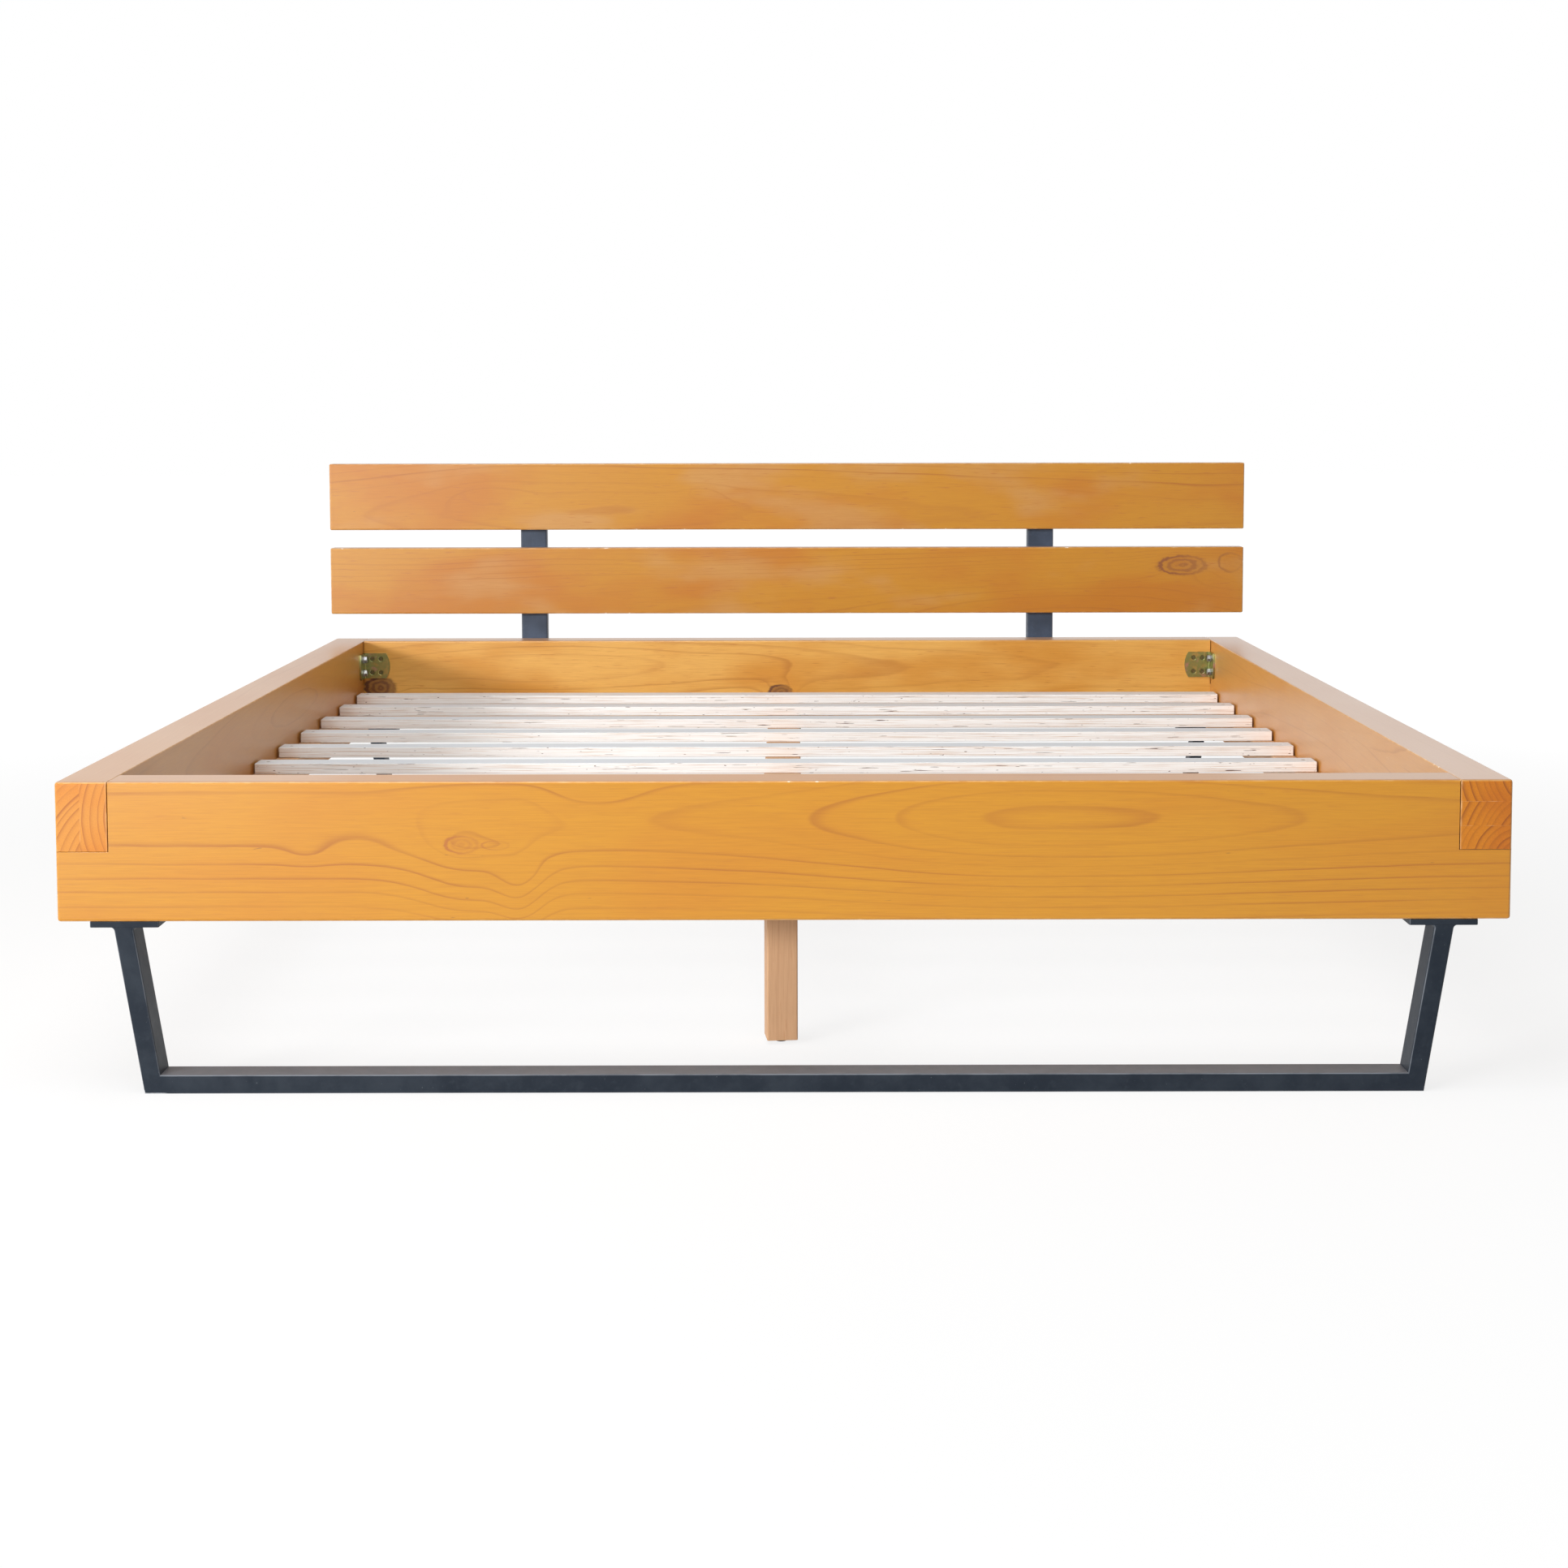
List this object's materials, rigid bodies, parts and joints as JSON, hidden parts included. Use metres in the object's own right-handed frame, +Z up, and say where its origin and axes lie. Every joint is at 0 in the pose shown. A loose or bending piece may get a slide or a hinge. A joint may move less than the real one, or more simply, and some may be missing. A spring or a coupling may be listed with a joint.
{
  "type": "bed frame",
  "caption": "Solid wood beam bed frame with lap-jointed rails, slats on ledgers and a centre beam, a two-board headboard on steel posts and trapezoid steel skid feet.",
  "frame": {"origin": "floor level under the middle of the bed's overall box", "axes": "+Z up from the floor, +Y towards the headboard, +X towards the right side seen from the foot end"},
  "size_m": [1.966, 2.1854, 0.806],
  "materials": {
    "rail_pine": "honey-coloured clear lacquer, satin",
    "headboard_pine": "honey-coloured clear lacquer, satin",
    "slat_wood": "sanded laminated veneer, untreated",
    "carrier_pine": "planed pine, untreated",
    "leg_pine": "planed, matt",
    "painted_steel": "anthracite powder coat, fine satin",
    "yellow_zinc_steel": "yellow-passivated zinc",
    "bright_zinc_steel": "bright zinc plating",
    "black_plastic": "moulded, matt"
  },
  "bodies": {
    "bed_frame": {"foot_rail": "rail_pine", "head_rail": "rail_pine", "left_side_rail": "rail_pine", "right_side_rail": "rail_pine", "left_slat_ledger": "carrier_pine", "right_slat_ledger": "carrier_pine", "slat_01": "slat_wood", "slat_02": "slat_wood", "slat_03": "slat_wood", "slat_04": "slat_wood", "slat_05": "slat_wood", "slat_06": "slat_wood", "slat_07": "slat_wood", "slat_08": "slat_wood", "slat_09": "slat_wood", "slat_10": "slat_wood", "centre_beam": "carrier_pine", "foot_beam_shoe": "yellow_zinc_steel", "head_beam_shoe": "yellow_zinc_steel", "foot_skid_left_post": "painted_steel", "foot_skid_left_plate": "painted_steel", "foot_skid_left_outer_screw": "bright_zinc_steel", "foot_skid_left_inner_screw": "bright_zinc_steel", "foot_skid_right_post": "painted_steel", "foot_skid_right_plate": "painted_steel", "foot_skid_right_outer_screw": "bright_zinc_steel", "foot_skid_right_inner_screw": "bright_zinc_steel", "foot_skid_floor_bar": "painted_steel", "head_skid_left_post": "painted_steel", "head_skid_left_plate": "painted_steel", "head_skid_left_outer_screw": "bright_zinc_steel", "head_skid_left_inner_screw": "bright_zinc_steel", "head_skid_right_post": "painted_steel", "head_skid_right_plate": "painted_steel", "head_skid_right_outer_screw": "bright_zinc_steel", "head_skid_right_inner_screw": "bright_zinc_steel", "head_skid_floor_bar": "painted_steel", "lower_headboard_board": "headboard_pine", "upper_headboard_board": "headboard_pine", "left_headboard_post": "painted_steel", "right_headboard_post": "painted_steel", "foot_left_corner_fitting": "yellow_zinc_steel", "foot_left_upper_bolt": "bright_zinc_steel", "foot_left_lower_bolt": "bright_zinc_steel", "foot_right_corner_fitting": "yellow_zinc_steel", "foot_right_upper_bolt": "bright_zinc_steel", "foot_right_lower_bolt": "bright_zinc_steel", "head_left_corner_fitting": "yellow_zinc_steel", "head_left_upper_bolt": "bright_zinc_steel", "head_left_lower_bolt": "bright_zinc_steel", "head_right_corner_fitting": "yellow_zinc_steel", "head_right_upper_bolt": "bright_zinc_steel", "head_right_lower_bolt": "bright_zinc_steel"},
    "foot_glide": {"foot_centre_leg_glide": "black_plastic"},
    "foot_leg": {"foot_centre_leg": "leg_pine", "foot_centre_leg_rod": "bright_zinc_steel"},
    "head_glide": {"head_centre_leg_glide": "black_plastic"},
    "head_leg": {"head_centre_leg": "leg_pine", "head_centre_leg_rod": "bright_zinc_steel"}
  },
  "joints": [
    {"name": "foot_leg_lift", "type": "slide", "parent": "bed_frame", "child": "foot_glide", "axis": [0, 0, 1], "range_m": [0, 0.006]},
    {"name": "foot_leg_turn", "type": "hinge", "parent": "foot_glide", "child": "foot_leg", "pos_m": [-0.006, -0.80065, 0], "axis": [0, 0, 1], "range_deg": [0, 1440]},
    {"name": "head_leg_lift", "type": "slide", "parent": "bed_frame", "child": "head_glide", "axis": [0, 0, 1], "range_m": [0, 0.006]},
    {"name": "head_leg_turn", "type": "hinge", "parent": "head_glide", "child": "head_leg", "pos_m": [-0.006, 0.77035, 0], "axis": [0, 0, 1], "range_deg": [0, 1440]}
  ],
  "couplings": [
    {"joint": "foot_leg_lift", "follows": "foot_leg_turn", "m_per_rad": 0.00023873},
    {"joint": "head_leg_lift", "follows": "head_leg_turn", "m_per_rad": 0.00023873}
  ]
}
